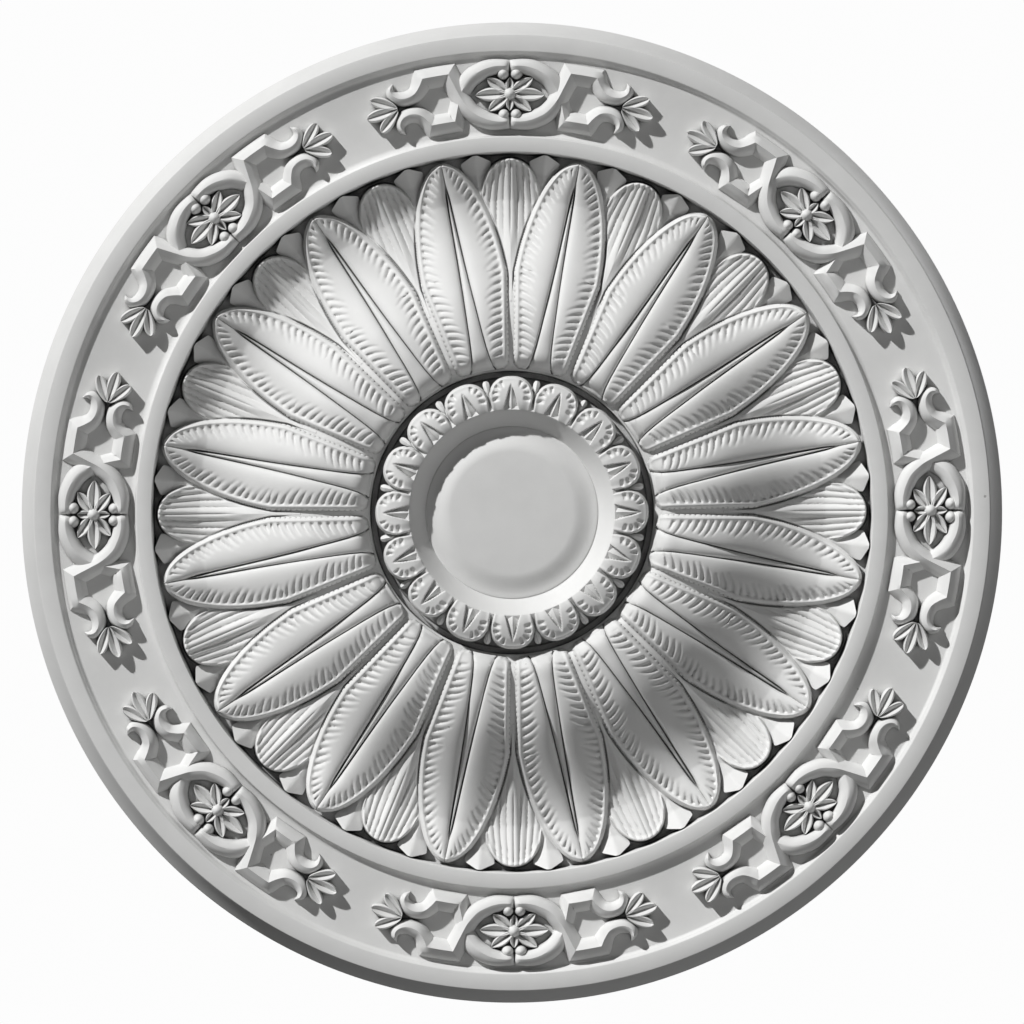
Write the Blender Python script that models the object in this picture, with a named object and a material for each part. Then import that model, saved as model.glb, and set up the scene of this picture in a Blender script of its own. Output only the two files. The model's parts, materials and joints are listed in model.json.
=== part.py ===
"""A round ceiling rose, cast in one piece.

It hangs face down: its flat back lies on the ceiling at z = 0 and the carved face looks along -Z.
The face is worked out as one sheet of triangles. Every outline, ridge and groove is a drawn line
in plan with its depth below the ceiling, and the sheet is stretched between those lines.
"""

from math import cos, pi, sin, sqrt

import bmesh
import bpy
from mathutils import Vector
from mathutils.geometry import delaunay_2d_cdt, intersect_line_line_2d

# Rim: a coved outer edge that ends in a flat fillet, proud of the frieze.
ROSE_RADIUS = 0.350
EDGE_LIP = 0.002
COVE_WIDTH = 0.0103
COVE_SAG = 0.0012
FILLET_RISE = 0.0045
FILLET_WIDTH = 0.0117
WALL_SLOPE_WIDTH = 0.0036

# Frieze: the sunk band that carries the cartouches, as thick as the casting is there.
FRIEZE_DEPTH = 0.0163
FRIEZE_WIDTH = 0.0537
CARTOUCHE_COUNT = 8
CARTOUCHE_MARGIN = 0.0014
STRAP_RISE = 0.0090
PETAL_RISE = 0.0058
BEAD_RISE = 0.0085
PALMETTE_RISE = 0.0082

# Ring between the frieze and the leaves.
RING_WIDTH = 0.0107
RING_RISE = 0.0057
RING_INNER_SLOPE_WIDTH = 0.0014

# Leaf field: a swelling dome that sinks to a valley and lifts again to the ring.
LEAF_COUNT = 16
CREST_DEPTH = 0.0430
WEB_THICKNESS = 0.0050
ROOT_DROP = 0.0070
LEAF_THICKNESS = 0.0033
LEAF_WALL_WIDTH = 0.0028
LEAF_BULGE = 0.0022
MIDRIB_HALF_WIDTH = 0.0056
MIDRIB_RISE = 0.0010
UNDER_LEAF_RISE = 0.0024
UNDER_LEAF_SINK = 0.0020
UNDER_LEAF_WALL_WIDTH = 0.0014
FLUTE_DEPTH = 0.0012
TIP_BELOW_RING = 0.0019
TIP_SINK = 0.0012
SMALL_TIP_SHOULDER = 0.0085

# Collar: a ring of small lobes round the cup, a little proud of the leaves.
COLLAR_RADIUS = 0.0955
COLLAR_WIDTH = 0.0219
COLLAR_RISE = 0.0015
COLLAR_SHOULDER_DROP = 0.0050
COLLAR_LIP_DROP = 0.0012
COLLAR_BATTER = 0.0050
CREVICE_WIDTH = 0.0045
CREVICE_SINK = 0.0170
LOBE_SINK = 0.0006
LOBE_NOTCH = 0.0022
LOBE_SWELL = 0.0003
WEDGE_NOTCH = 0.0010

# Cup: the sunk seat for a lamp's canopy.
CUP_WALL_WIDTH = 0.0114
CUP_GROOVE_WIDTH = 0.0030
CUP_ROLL_WIDTH = 0.0162
CUP_SINK = 0.0110
CUP_FLOOR_RISE = 0.0040

# Sides of the turned circles, and the angle from which an edge is drawn sharp.
RIM_STEPS = 88
RING_STEPS = 72
CREVICE_STEPS = 48
CUP_STEPS = 44
CREASE_ANGLE = pi / 6

# Depths below the ceiling, worked out from the sizes above.
FILLET_DEPTH = FRIEZE_DEPTH + FILLET_RISE
RING_DEPTH = FRIEZE_DEPTH + RING_RISE
VALLEY_DEPTH = WEB_THICKNESS + LEAF_THICKNESS
TIP_LIFT = RING_DEPTH - TIP_BELOW_RING - VALLEY_DEPTH
COLLAR_DEPTH = CREST_DEPTH + COLLAR_RISE
CREVICE_DEPTH = COLLAR_DEPTH - CREVICE_SINK
CUP_FLOOR_DEPTH = COLLAR_DEPTH - CUP_SINK
CUP_GROOVE_DEPTH = CUP_FLOOR_DEPTH - CUP_FLOOR_RISE

# Radii worked out from the sizes above, from the rim inwards and from the collar both ways.
COVE_TOP_RADIUS = ROSE_RADIUS - COVE_WIDTH
FILLET_INNER_RADIUS = COVE_TOP_RADIUS - FILLET_WIDTH
FRIEZE_OUTER_RADIUS = FILLET_INNER_RADIUS - WALL_SLOPE_WIDTH
FRIEZE_MID_RADIUS = FRIEZE_OUTER_RADIUS - FRIEZE_WIDTH / 2
FRIEZE_INNER_RADIUS = FRIEZE_OUTER_RADIUS - FRIEZE_WIDTH
CARTOUCHE_HALF_HEIGHT = FRIEZE_WIDTH / 2 - CARTOUCHE_MARGIN
RING_OUTER_RADIUS = FRIEZE_INNER_RADIUS - WALL_SLOPE_WIDTH
RING_INNER_RADIUS = RING_OUTER_RADIUS - RING_WIDTH
FIELD_OUTER_RADIUS = RING_INNER_RADIUS - RING_INNER_SLOPE_WIDTH
COLLAR_FOOT_RADIUS = COLLAR_RADIUS + COLLAR_BATTER
FIELD_INNER_RADIUS = COLLAR_FOOT_RADIUS + CREVICE_WIDTH
FIELD_SPAN = FIELD_OUTER_RADIUS - FIELD_INNER_RADIUS
LEAF_SECTOR = pi / LEAF_COUNT
CUP_RADIUS = COLLAR_RADIUS - COLLAR_WIDTH
CUP_WALL_FOOT_RADIUS = CUP_RADIUS - CUP_WALL_WIDTH
CUP_GROOVE_RADIUS = CUP_WALL_FOOT_RADIUS - CUP_GROOVE_WIDTH
CUP_FLOOR_RADIUS = CUP_GROOVE_RADIUS - CUP_ROLL_WIDTH

# Shape of the leaf field, as shares of its own width from the roots to the tips.
CREST_SHARE = 0.135
WIDEST_SHARE = 0.470
VALLEY_SHARE = 0.785
MIDRIB_END_SHARE = 0.900
UNDER_LEAF_CENTRE_SHARE = 0.785
LEAF_WIDTH_SHARE = 0.905
UNDER_LEAF_WIDTH_SHARE = 0.500
SMALL_TIP_WIDTH_SHARE = 0.860

# Half of one cartouche's stretch of the frieze, in the shares its shape is drawn in.
CARTOUCHE_REACH = 4.63


def field_radius(share):
    return FIELD_INNER_RADIUS + share * FIELD_SPAN


CREST_RADIUS = field_radius(CREST_SHARE)
WIDEST_RADIUS = field_radius(WIDEST_SHARE)
VALLEY_RADIUS = field_radius(VALLEY_SHARE)
MIDRIB_END_RADIUS = field_radius(MIDRIB_END_SHARE)
LEAF_HALF_WIDTH = LEAF_WIDTH_SHARE * LEAF_SECTOR * WIDEST_RADIUS
UNDER_LEAF_CENTRE_RADIUS = field_radius(UNDER_LEAF_CENTRE_SHARE)
UNDER_LEAF_HALF_WIDTH = UNDER_LEAF_WIDTH_SHARE * LEAF_SECTOR * UNDER_LEAF_CENTRE_RADIUS


class CarvedFace:
    """The drawn lines of the carved face: points in plan, each with its depth below the ceiling."""

    def __init__(self):
        self.plan = []
        self.depths = []
        self.lines = []

    def draw(self, stations, closed=False):
        """Adds one line through (bearing, radius, depth) stations. Bearings run clockwise seen from below."""
        first = len(self.plan)
        for bearing, radius, depth in stations:
            self.plan.append(Vector((radius * sin(bearing), -radius * cos(bearing))))
            self.depths.append(depth)
        last = len(self.plan) - 1
        self.lines += [(i, i + 1) for i in range(first, last)]
        if closed:
            self.lines.append((last, first))

    def circle(self, radius, depth, steps):
        self.draw([(2 * pi * k / steps, radius, depth) for k in range(steps)], closed=True)

    def depth_on_lines(self, place):
        """Depth where two drawn lines cross, read along them both."""
        found = []
        for start, end in self.lines:
            run = self.plan[end] - self.plan[start]
            share = (place - self.plan[start]).dot(run) / max(run.length_squared, 1e-12)
            if 0 <= share <= 1 and (self.plan[start] + share * run - place).length < 1e-5:
                found.append(self.depths[start] + share * (self.depths[end] - self.depths[start]))
        return max(found, default=FRIEZE_DEPTH)

    def stretched(self):
        """The points (x, y, z) and triangles of the sheet stretched between the drawn lines."""
        plan, _, triangles, origins, _, _ = delaunay_2d_cdt(self.plan, self.lines, [], 0, 1e-5)
        points = []
        for place, origin in zip(plan, origins):
            depth = max(self.depths[i] for i in origin) if origin else self.depth_on_lines(place)
            points.append((place.x, place.y, -depth))
        return points, triangles


def field_depth(radius):
    """Depth of the leaves' rims: the profile of the dome, its valley and the lift to the ring."""
    if radius < CREST_RADIUS:
        share = (CREST_RADIUS - radius) / (CREST_RADIUS - FIELD_INNER_RADIUS)
        return CREST_DEPTH - ROOT_DROP * share**5
    if radius < VALLEY_RADIUS:
        share = (radius - CREST_RADIUS) / (VALLEY_RADIUS - CREST_RADIUS)
        return VALLEY_DEPTH + (CREST_DEPTH - VALLEY_DEPTH) * (1 + cos(pi * share)) / 2
    share = (radius - VALLEY_RADIUS) / (FIELD_OUTER_RADIUS - VALLEY_RADIUS)
    return VALLEY_DEPTH + TIP_LIFT * share**1.3


def round_tip(centre_radius, tip_radius, half_width, degrees):
    """(radius, half width) on a half-oval end, at each angle up from its widest place."""
    reach = tip_radius - centre_radius
    angles = [pi * angle / 180 for angle in degrees]
    return [(centre_radius + reach * sin(angle), half_width * cos(angle)) for angle in angles]


def both_sides(axis, side_stations, tip=None):
    """A line up one side of an axis, round an optional tip, and down the other."""
    left = [(axis - half / radius, radius, depth) for radius, half, depth in side_stations]
    right = [(axis + half / radius, radius, depth) for radius, half, depth in reversed(side_stations)]
    middle = [(axis, *tip)] if tip else []
    return left + middle + right


def leaf_outline(inset):
    """(radius, half width) of a big leaf from root to near its tip, drawn in by inset."""
    root_shares = (0.006, 0.050, 0.135, 0.300)
    roots = [field_radius(share) for share in root_shares]
    widest = LEAF_HALF_WIDTH - inset
    straight = [(radius, min(LEAF_SECTOR * radius - inset, widest)) for radius in roots]
    return straight + round_tip(WIDEST_RADIUS, FIELD_OUTER_RADIUS - inset, widest, (0, 18, 36, 54, 70, 82))


def foot_depth(radius):
    """Depth at the foot of a leaf's edge. Past the valley the gaps between the tips reach the web."""
    return field_depth(radius) - LEAF_THICKNESS if radius < VALLEY_RADIUS else WEB_THICKNESS


def midrib_half_width(radius):
    reach = (MIDRIB_END_RADIUS - radius) / (MIDRIB_END_RADIUS - CREST_RADIUS)
    return MIDRIB_HALF_WIDTH * sqrt(max(reach, 0.0))


def carve_big_leaf(face, axis):
    """A long pointed leaf: side walls, two swelling halves and a raised midrib between two grooves."""
    foot = [(r, half, foot_depth(r)) for r, half in leaf_outline(0.0)]
    face.draw(both_sides(axis, foot, (FIELD_OUTER_RADIUS, field_depth(FIELD_OUTER_RADIUS) - TIP_SINK)))

    outline = leaf_outline(LEAF_WALL_WIDTH)
    rim = [(r, half, field_depth(r)) for r, half in outline]
    rim_tip = FIELD_OUTER_RADIUS - LEAF_WALL_WIDTH
    face.draw(both_sides(axis, rim, (rim_tip, field_depth(rim_tip))))

    swell = []
    for radius, half in outline[2::2]:
        bulge = LEAF_BULGE * half / LEAF_HALF_WIDTH
        swell.append((radius, (half + midrib_half_width(radius)) / 2, field_depth(radius) + bulge))
    face.draw(both_sides(axis, swell)[: len(swell)])
    face.draw(both_sides(axis, swell)[len(swell) :])

    groove_shares = (0.012, 0.080, 0.245, 0.470, 0.680, 0.820)
    grooves = []
    for share in groove_shares:
        radius = field_radius(share)
        splay = 0.6 if share < CREST_SHARE / 2 else 0.0
        grooves.append((radius, midrib_half_width(radius) * (1 + splay), field_depth(radius)))
    face.draw(both_sides(axis, grooves, (MIDRIB_END_RADIUS, field_depth(MIDRIB_END_RADIUS))))
    ridge = [(axis, r, depth + MIDRIB_RISE) for r, _, depth in grooves]
    face.draw(ridge)


def meeting_radius():
    """Where an under-leaf's oval end comes out from behind the big leaf's edge."""
    low, high = UNDER_LEAF_CENTRE_RADIUS, FIELD_OUTER_RADIUS
    for _ in range(40):
        radius = (low + high) / 2
        big = oval_half_width(radius, WIDEST_RADIUS, FIELD_OUTER_RADIUS, LEAF_HALF_WIDTH)
        under = oval_half_width(radius, UNDER_LEAF_CENTRE_RADIUS, FIELD_OUTER_RADIUS, UNDER_LEAF_HALF_WIDTH)
        if big + under > LEAF_SECTOR * radius:
            low = radius
        else:
            high = radius
    return high


def oval_half_width(radius, centre_radius, tip_radius, half_width):
    share = (radius - centre_radius) / (tip_radius - centre_radius)
    return half_width * sqrt(max(1 - share**2, 0.0))


def carve_under_leaf(face, axis):
    """A fluted leaf that shows between two big ones: a centre ridge, two flutes a side and a round tip."""
    ridge = []
    for share in (0.360, 0.470, 0.600, 0.740, 0.880):
        radius = field_radius(share)
        rise = UNDER_LEAF_RISE * min((share - 0.360) / 0.200, 1.0)
        ridge.append((axis, radius, field_depth(radius) - LEAF_THICKNESS + rise))
    face.draw(ridge + [(axis, FIELD_OUTER_RADIUS, field_depth(FIELD_OUTER_RADIUS) - TIP_SINK)])

    start = meeting_radius() + UNDER_LEAF_WALL_WIDTH
    span = FIELD_OUTER_RADIUS - start
    rim = []
    foot = []
    for share in (0.0, 0.45, 0.78, 0.95):
        radius = start + share * span
        half = oval_half_width(radius, UNDER_LEAF_CENTRE_RADIUS, FIELD_OUTER_RADIUS, UNDER_LEAF_HALF_WIDTH)
        rim.append((radius, half - UNDER_LEAF_WALL_WIDTH, field_depth(radius) - UNDER_LEAF_SINK))
        foot.append((radius, half, WEB_THICKNESS))
    face.draw(both_sides(axis, rim)[: len(rim)])
    face.draw(both_sides(axis, rim)[len(rim) :])
    face.draw(both_sides(axis, foot)[: len(foot)])
    face.draw(both_sides(axis, foot)[len(foot) :])

    flute_stations = ((0.745, 0.62), (0.860, 0.90), (0.950, 0.60))
    for place, sink in ((0.34, FLUTE_DEPTH), (0.67, 0.0)):
        for side in (-1, 1):
            line = []
            for share, spread in flute_stations:
                radius = field_radius(share)
                turn = side * place * spread * UNDER_LEAF_HALF_WIDTH / radius
                line.append((axis + turn, radius, field_depth(radius) - UNDER_LEAF_SINK - sink))
            face.draw(line)


def gap_half_width(radius):
    """Half the gap between a big leaf's edge and an under-leaf's."""
    big = oval_half_width(radius, WIDEST_RADIUS, FIELD_OUTER_RADIUS, LEAF_HALF_WIDTH)
    under = oval_half_width(radius, UNDER_LEAF_CENTRE_RADIUS, FIELD_OUTER_RADIUS, UNDER_LEAF_HALF_WIDTH)
    return (LEAF_SECTOR * radius - big - under) / 2


def carve_small_tip(face, axis):
    """The pointed tip of a leaf behind: a ridged kite in the gap between a big leaf and an under-leaf."""
    start = meeting_radius() + LEAF_THICKNESS
    middle = (start + FIELD_OUTER_RADIUS) / 2
    shoulder = FIELD_OUTER_RADIUS - SMALL_TIP_SHOULDER
    turn = SMALL_TIP_WIDTH_SHARE * gap_half_width(shoulder) / shoulder
    shoulder_depth = field_depth(shoulder) - LEAF_THICKNESS
    peak = (axis, FIELD_OUTER_RADIUS, field_depth(FIELD_OUTER_RADIUS) - TIP_SINK)
    root = (axis, start, WEB_THICKNESS + TIP_SINK)
    face.draw([root, (axis, middle, field_depth(middle) - TIP_SINK), peak])
    face.draw([(axis - turn, shoulder, shoulder_depth), peak, (axis + turn, shoulder, shoulder_depth)])


def carve_field_edge(face):
    """The circle where the tips meet the ring, sinking to the web in every gap between them."""
    steps = 8 * LEAF_COUNT
    tip_depth = field_depth(FIELD_OUTER_RADIUS) - TIP_SINK
    depths = (tip_depth, WEB_THICKNESS)
    face.draw([(2 * pi * k / steps, FIELD_OUTER_RADIUS, depths[k % 2]) for k in range(steps)], closed=True)


def carve_leaves(face):
    for k in range(LEAF_COUNT):
        big_axis = (2 * k + 1) * LEAF_SECTOR
        under_axis = 2 * k * LEAF_SECTOR
        carve_big_leaf(face, big_axis)
        carve_under_leaf(face, under_axis)
        for side in (-1, 1):
            carve_small_tip(face, under_axis + side * LEAF_SECTOR / 2)
    carve_field_edge(face)


def collar_radius(share):
    return CUP_RADIUS + share * COLLAR_WIDTH


def collar_depth(radius):
    """Depth of the collar's rounded back between the cup's rim and its outer shoulder."""
    crest = collar_radius(0.27)
    if radius < crest:
        return COLLAR_DEPTH - COLLAR_LIP_DROP * ((crest - radius) / (crest - CUP_RADIUS)) ** 2
    return COLLAR_DEPTH - COLLAR_SHOULDER_DROP * ((radius - crest) / (COLLAR_RADIUS - crest)) ** 2


def collar_station(axis, turn, share, sink):
    """A place on the collar: turn in leaf sectors, share from the cup's rim to the shoulder."""
    radius = collar_radius(share)
    return axis + turn * LEAF_SECTOR, radius, collar_depth(radius) - sink


def carve_collar_lobe(face, axis):
    """A round-ended lobe with a wedge cut into it from the cup's side, and a notch beside it."""
    side = ((0.960, 0.10), (0.935, 0.42), (0.860, 0.70), (0.640, 0.90), (0.330, 0.985))
    outline = [(-turn, share) for turn, share in side] + [(0.0, 1.0)] + list(reversed(side))
    face.draw([collar_station(axis, turn, share, LOBE_SINK) for turn, share in outline])
    for side in (-1, 1):
        face.draw([collar_station(axis, side * 0.62, share, -LOBE_SWELL) for share in (0.16, 0.62)])
        wedge = ((0.36, 0.06), (0.14, 0.52))
        face.draw([collar_station(axis, side * turn, share, WEDGE_NOTCH) for turn, share in wedge])
    face.draw([collar_station(axis, 0.0, share, 0.0) for share in (0.06, 0.50, 0.80)])
    face.draw([collar_station(axis, 1.0, share, LOBE_NOTCH) for share in (0.08, 0.45, 0.80)])


def carve_collar(face):
    for k in range(LEAF_COUNT):
        carve_collar_lobe(face, 2 * k * LEAF_SECTOR)
    face.circle(COLLAR_FOOT_RADIUS, CREVICE_DEPTH, CREVICE_STEPS)
    face.circle(FIELD_INNER_RADIUS - CREVICE_WIDTH / 3, CREVICE_DEPTH, CREVICE_STEPS)


def carve_cup(face):
    """The turned recess: a sloping wall, a groove at its foot and a floor with a rolled edge."""
    face.circle(CUP_RADIUS, collar_depth(CUP_RADIUS), CUP_STEPS)
    face.circle(CUP_WALL_FOOT_RADIUS, CUP_GROOVE_DEPTH, CUP_STEPS)
    face.circle(CUP_GROOVE_RADIUS, CUP_GROOVE_DEPTH, CUP_STEPS)
    face.circle(CUP_GROOVE_RADIUS - CUP_ROLL_WIDTH / 2, CUP_GROOVE_DEPTH + 0.55 * CUP_FLOOR_RISE, CUP_STEPS)
    face.circle(CUP_FLOOR_RADIUS, CUP_FLOOR_DEPTH, CUP_STEPS)


def carve_mouldings(face):
    """The turned lines: the coved edge, the fillet, the frieze's ground and the ring."""
    face.circle(ROSE_RADIUS, EDGE_LIP, RIM_STEPS)
    face.circle(ROSE_RADIUS - COVE_WIDTH / 2, (EDGE_LIP + FILLET_DEPTH) / 2 - COVE_SAG, RIM_STEPS)
    face.circle(COVE_TOP_RADIUS, FILLET_DEPTH, RIM_STEPS)
    face.circle(FILLET_INNER_RADIUS, FILLET_DEPTH, RING_STEPS)
    face.circle(FRIEZE_OUTER_RADIUS, FRIEZE_DEPTH, RING_STEPS)
    face.circle(FRIEZE_INNER_RADIUS, FRIEZE_DEPTH, RING_STEPS)
    face.circle(RING_OUTER_RADIUS, RING_DEPTH, RING_STEPS)
    face.circle(RING_INNER_RADIUS, RING_DEPTH, RING_STEPS)


class Cartouche:
    """One side of a group of frieze ornament, drawn in shares along the frieze and across it."""

    def __init__(self, face, axis, side):
        self.face = face
        self.axis = axis
        self.side = side

    def station(self, along, across, rise):
        radius = FRIEZE_MID_RADIUS + across * CARTOUCHE_HALF_HEIGHT
        bearing = self.axis + self.side * along * pi / (CARTOUCHE_COUNT * CARTOUCHE_REACH)
        return bearing, radius, FRIEZE_DEPTH + rise

    def draw(self, line, closed=False):
        self.face.draw([self.station(*point) for point in line], closed)


def short_of(line, barrier):
    """The start of a line, up to just before it first crosses a barrier line."""
    for i in range(1, len(line)):
        start = Vector(line[i - 1])
        end = Vector(line[i])
        for first, second in zip(barrier, barrier[1:]):
            met = intersect_line_line_2d(start.xy, end.xy, Vector(first[:2]), Vector(second[:2]))
            if met:
                share = (met - start.xy).length / (end.xy - start.xy).length
                return line[:i] + [tuple(start.lerp(end, max(share - 0.05, 0.0)))]
    return line


def offset_line(route, sign):
    """A strap's edge: its middle line moved sideways by each station's half width, with mitred corners."""
    edge = []
    for i, (along, across, half) in enumerate(route):
        before = route[max(i - 1, 0)]
        after = route[min(i + 1, len(route) - 1)]
        entry = Vector((along - before[0], across - before[1]))
        leave = Vector((after[0] - along, after[1] - across))
        entry = entry.normalized() if entry.length else leave.normalized()
        leave = leave.normalized() if leave.length else entry
        mean = (entry + leave).normalized()
        reach = half / max(mean.dot(entry), 0.5)
        edge.append((along - sign * mean.y * reach, across + sign * mean.x * reach, 0.0))
    return edge


def carve_straps(group):
    """Two mirrored gabled straps. The one from the inner bead passes over the one from the outer bead."""
    over = strap_lines(STRAP_ROUTE)
    under = strap_lines([(along, -across, half) for along, across, half in STRAP_ROUTE])
    for line in over:
        group.draw(line)
    for line in under:
        group.draw(short_of(line, over[0]))
        group.draw(short_of(line[::-1], over[2]))
    for lines in (over, under):
        group.draw([lines[0][0], lines[2][0]])


def strap_lines(route):
    """A strap's edge, ridge and other edge, from its blunt end to its point."""
    body = route[:-1]
    point = (*route[-1][:2], STRAP_RISE / 2)
    ridge = [(along, across, STRAP_RISE) for along, across, _ in body]
    ridge[0] = tuple(Vector(ridge[0]).lerp(Vector(ridge[1]), 0.3))
    return [offset_line(body, 1) + [point], ridge + [point], offset_line(body, -1) + [point]]


STRAP_ROUTE = (
    (0.42, -0.77, 0.23),
    (0.72, -0.68, 0.27),
    (1.07, -0.49, 0.27),
    (1.33, -0.17, 0.28),
    (1.48, 0.18, 0.28),
    (1.63, 0.68, 0.30),
    (2.34, 0.68, 0.30),
    (2.60, 0.34, 0.20),
    (2.90, 0.21, 0.17),
    (3.20, 0.30, 0.15),
    (3.32, 0.56, 0.11),
    (3.24, 0.84, 0.00),
)


def carve_palmette(group):
    """Three round lobes fanning out behind the scrolls."""
    upper = ((3.42, 0.18), (3.62, 0.46), (3.98, 0.52), (3.88, 0.20), (4.16, 0.18))
    lower = tuple((along, -across) for along, across in reversed(upper))
    group.draw([(*place, 0.0) for place in (*upper, (4.38, 0.0), *lower)])
    root = (3.42, 0.0, PALMETTE_RISE)
    for along, across in ((3.88, 0.42), (4.22, 0.0), (3.88, -0.42)):
        group.draw([root, (along, across, 0.7 * PALMETTE_RISE)])


def carve_beads(group):
    """Two small beads that close the ends of the straps."""
    along = 0.17
    size = 0.14
    for across in (0.60, -0.60):
        group.draw([(along, across, BEAD_RISE)])
        corners = ((size, 0.0), (0.0, size), (-size, 0.0), (0.0, -size))
        group.draw([(along + du, across + dv, 0.0) for du, dv in corners], closed=True)


def carve_flower(group):
    """Eight pointed petals, each with a ridge, round a raised eye."""
    half = ((0.92, 0.0), (0.46, 0.40), (0.0, 0.40), (-0.46, 0.40))
    petals = half + tuple((-along, -across) for along, across in half)
    outline = []
    for i, (along, across) in enumerate(petals):
        following = petals[(i + 1) % len(petals)]
        between = Vector((along + following[0], across + following[1])).normalized() * 0.24
        outline += [(along, across, 0.0), (between.x, between.y, 0.0)]
        ridge = ((0.35, PETAL_RISE), (0.75, 0.8 * PETAL_RISE))
        group.draw([(reach * along, reach * across, rise) for reach, rise in ridge])
    group.draw(outline, closed=True)
    group.draw([(0.0, 0.0, BEAD_RISE)])


def carve_frieze(face):
    for k in range(CARTOUCHE_COUNT):
        axis = 2 * pi * k / CARTOUCHE_COUNT
        for side in (-1, 1):
            group = Cartouche(face, axis, side)
            carve_straps(group)
            carve_palmette(group)
            carve_beads(group)
        carve_flower(Cartouche(face, axis, 1))


def cast_solid(face):
    """Closes the stretched sheet with an upright edge and a flat back on the ceiling."""
    points, triangles = face.stretched()
    mesh = bpy.data.meshes.new("ceiling_rose")
    shape = bmesh.new()
    corners = [shape.verts.new(point) for point in points]
    for triangle in triangles:
        shape.faces.new([corners[i] for i in triangle])
    outer_edge = [edge for edge in shape.edges if edge.is_boundary]
    lifted = bmesh.ops.extrude_edge_only(shape, edges=outer_edge)["geom"]
    for vertex in lifted:
        if isinstance(vertex, bmesh.types.BMVert):
            vertex.co.z = 0.0
    back_edge = [edge for edge in lifted if isinstance(edge, bmesh.types.BMEdge) and edge.is_boundary]
    bmesh.ops.edgeloop_fill(shape, edges=back_edge)
    bmesh.ops.recalc_face_normals(shape, faces=shape.faces)
    shape.to_mesh(mesh)
    shape.free()
    mesh.shade_smooth()
    mesh.set_sharp_from_angle(angle=CREASE_ANGLE)
    return mesh


def primed_white():
    """Matt white primer over the casting."""
    material = bpy.data.materials.new("primed_casting")
    material.use_nodes = True
    shader = material.node_tree.nodes["Principled BSDF"]
    shader.inputs["Base Color"].default_value = (0.78, 0.78, 0.77, 1.0)
    shader.inputs["Roughness"].default_value = 0.62
    shader.inputs["Metallic"].default_value = 0.0
    return material


def main():
    for obj in list(bpy.data.objects):
        bpy.data.objects.remove(obj, do_unlink=True)
    face = CarvedFace()
    carve_mouldings(face)
    carve_frieze(face)
    carve_leaves(face)
    carve_collar(face)
    carve_cup(face)
    mesh = cast_solid(face)
    mesh.materials.append(primed_white())
    rose = bpy.data.objects.new("ceiling_rose", mesh)
    bpy.context.scene.collection.objects.link(rose)


main()
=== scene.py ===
# %% [markdown]
# # A carved ceiling rose
# A ceiling rose is the round ornament above a hanging lamp. This one is a single casting, so the
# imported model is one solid. The script keeps that solid's sizes and dresses it with fine meshes:
# a turned body, long leaves, a lobed collar and a frieze of strapwork.

# %% Load the frame
import json
from math import cos, pi, radians, sin

import bpy
import numpy as np
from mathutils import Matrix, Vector

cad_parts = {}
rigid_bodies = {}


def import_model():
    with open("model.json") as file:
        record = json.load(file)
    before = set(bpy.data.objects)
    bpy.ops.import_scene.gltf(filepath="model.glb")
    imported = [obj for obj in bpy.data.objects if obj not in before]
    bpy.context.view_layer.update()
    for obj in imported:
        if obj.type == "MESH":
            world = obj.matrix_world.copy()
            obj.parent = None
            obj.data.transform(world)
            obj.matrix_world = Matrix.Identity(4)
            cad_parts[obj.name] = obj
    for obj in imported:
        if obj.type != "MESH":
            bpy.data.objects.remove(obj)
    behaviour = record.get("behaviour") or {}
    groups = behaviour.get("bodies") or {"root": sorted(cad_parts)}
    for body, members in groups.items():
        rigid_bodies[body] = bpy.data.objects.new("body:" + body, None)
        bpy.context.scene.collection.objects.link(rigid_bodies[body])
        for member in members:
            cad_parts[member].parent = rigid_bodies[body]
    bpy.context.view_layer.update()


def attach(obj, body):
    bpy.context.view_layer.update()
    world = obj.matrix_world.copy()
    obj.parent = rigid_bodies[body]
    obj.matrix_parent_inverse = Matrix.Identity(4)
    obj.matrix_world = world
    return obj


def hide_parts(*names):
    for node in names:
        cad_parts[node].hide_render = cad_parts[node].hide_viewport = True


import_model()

# %% [markdown]
# The rose hangs face down. A place on it is a bearing round the centre, clockwise as seen from
# below with 0 at the photograph's top, a radius, and a depth below the ceiling. Every shape below
# is a sheet: a table of such places in rows and columns. Working in millimetres keeps the numbers
# short, and one function turns them into metres.

# %% Places and sheets
MM = 0.001


def place(bearing, radius, depth):
    """Points in metres for bearings in radians and radii and depths in millimetres."""
    bearing, radius, depth = np.broadcast_arrays(bearing, radius, depth)
    return MM * np.stack([radius * np.sin(bearing), -radius * np.cos(bearing), -depth], axis=-1)


def sheet_faces(rows, columns):
    """Four corner numbers for every face of a sheet."""
    corner = np.arange(rows * columns).reshape(rows, columns)
    sides = (corner[:-1, :-1], corner[1:, :-1], corner[1:, 1:], corner[:-1, 1:])
    return np.stack([side.ravel() for side in sides], axis=-1)


def faces_up(points, faces):
    """True if a sheet faces the ceiling on the whole."""
    across = points[faces[:, 2]] - points[faces[:, 0]]
    along = points[faces[:, 3]] - points[faces[:, 1]]
    return np.cross(across, along)[:, 2].sum() > 0


# %% [markdown]
# A piece is one mesh made of one or more sheets. Each sheet is turned to face down if it came out
# facing up, because a flipped face shades as if it were lit from the wrong side. Edges sharper
# than a limit stay crisp and everything else is shaded smooth. Forms with crisp arrises get a
# small limit, and forms with fine soft relief a large one.

# %% Make a piece from sheets
CRISP = radians(30)
CREASE = radians(38)
SOFT = radians(60)
pieces = []


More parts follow.
